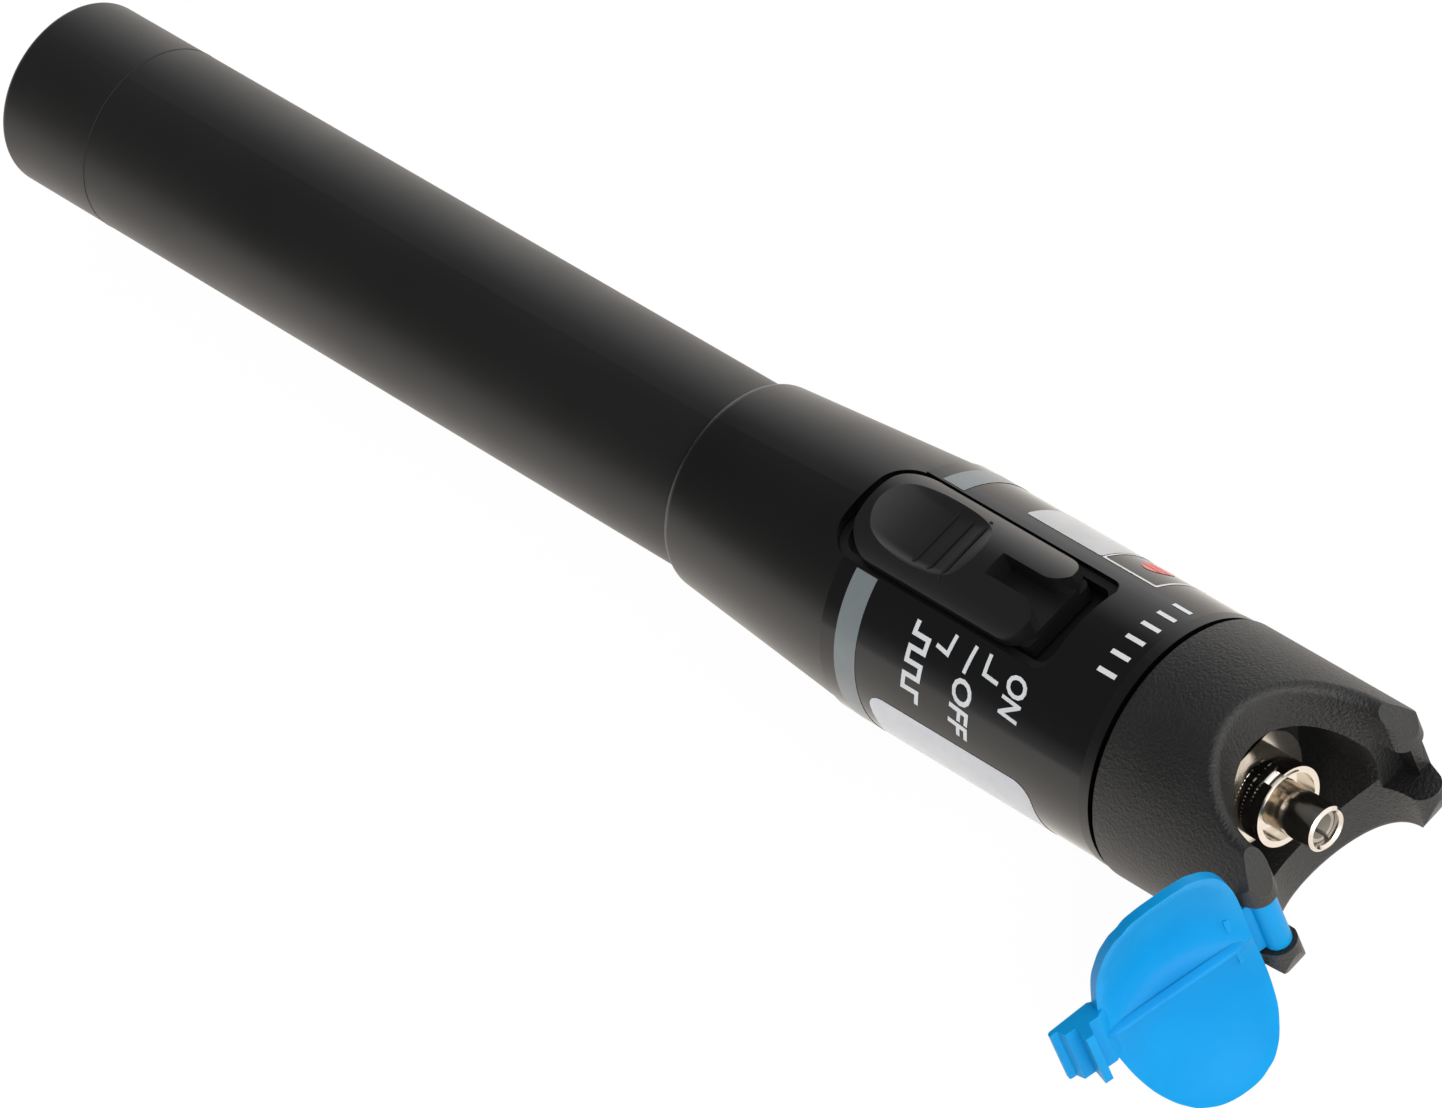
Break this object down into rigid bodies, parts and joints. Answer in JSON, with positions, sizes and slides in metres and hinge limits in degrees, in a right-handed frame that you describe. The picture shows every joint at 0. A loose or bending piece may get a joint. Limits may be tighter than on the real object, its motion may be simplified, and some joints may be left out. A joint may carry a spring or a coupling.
{
  "type": "pen-type visual fault locator",
  "caption": "Pen-shaped visual fault locator: black tube with slide switch, split fish-mouth head round a ferrule port, and a blue saddle-shaped dust cap hinged on its side.",
  "frame": {"origin": "on the pen's axis, at the mouth of the ceramic sleeve that takes the ferrule", "axes": "+X along the pen's axis, out of the port; +Z out of the slide switch; -Y towards the dust cap's hinge"},
  "size_m": [0.1761, 0.0445, 0.0296],
  "materials": {
    "anodised_tube": "matte black anodised, fine grain",
    "anodised_cap": "matte black anodised, fine grain",
    "anodised_sleeve": "satin black anodised",
    "label_gloss": "glossy black printed wrap with plain white and red fields",
    "bezel_black": "satin black moulding",
    "knob_black": "satin black, soft edges",
    "head_black": "dark grey-black, fine moulded grain",
    "port_nickel": "nickel plate, turned",
    "sleeve_nickel": "nickel plate, polished rim",
    "cap_blue": "bright blue, slightly translucent",
    "seal_rubber": "matte",
    "spring_steel": "plated spring wire",
    "cell_can": "wrapped can; its density is close to a whole cell's",
    "disc_plastic": "natural insulating plastic",
    "contact_brass": "turned rivet",
    "board_green": "coated circuit board",
    "switch_shell": "moulded shell",
    "lever_black": "moulded",
    "housing_brass": "turned brass",
    "diode_metal": "gold-tinted metal can",
    "lens_glass": "clear polished",
    "ring_brass": "turned brass",
    "sleeve_ceramic": "white zirconia"
  },
  "bodies": {
    "barrel": {"battery_rear": "cell_can", "battery_front": "cell_can", "battery_tube": "anodised_tube", "contact_disc": "disc_plastic", "front_contact": "contact_brass", "front_sleeve": "anodised_sleeve", "label_wrap": "label_gloss", "switch_bezel": "bezel_black", "circuit_board": "board_green", "slide_switch_body": "switch_shell", "laser_housing": "housing_brass", "laser_diode": "diode_metal", "focus_lens": "lens_glass", "lens_ring": "ring_brass", "port_body": "port_nickel", "port_sleeve": "sleeve_nickel", "ceramic_sleeve": "sleeve_ceramic", "head_upper_shell": "head_black", "head_lower_shell": "head_black"},
    "dust_cap": {"dust_cap": "cap_blue"},
    "slider": {"slider_knob": "knob_black", "switch_lever": "lever_black"},
    "tail_spring": {"tail_spring": "spring_steel"},
    "tail_cap": {"tail_cap": "anodised_cap", "tail_seal_ring": "seal_rubber"}
  },
  "joints": [
    {"name": "cap_hinge", "type": "hinge", "parent": "barrel", "child": "dust_cap", "pos_m": [0.00245, -0.0099, 0], "axis": [0, 0, 1], "range_deg": [0, 195]},
    {"name": "switch_slide", "type": "slide", "parent": "barrel", "child": "slider", "axis": [1, 0, 0], "range_m": [-0.002, 0.002]},
    {"name": "tail_cap_slide", "type": "slide", "parent": "barrel", "child": "tail_spring", "axis": [1, 0, 0], "range_m": [-0.008, 0]},
    {"name": "tail_cap_turn", "type": "hinge", "parent": "tail_spring", "child": "tail_cap", "pos_m": [-0.1654, 0, 0], "axis": [1, 0, 0], "range_deg": [-2880, 0]}
  ],
  "couplings": [
    {"joint": "tail_cap_slide", "follows": "tail_cap_turn", "m_per_rad": 0.00015915}
  ]
}
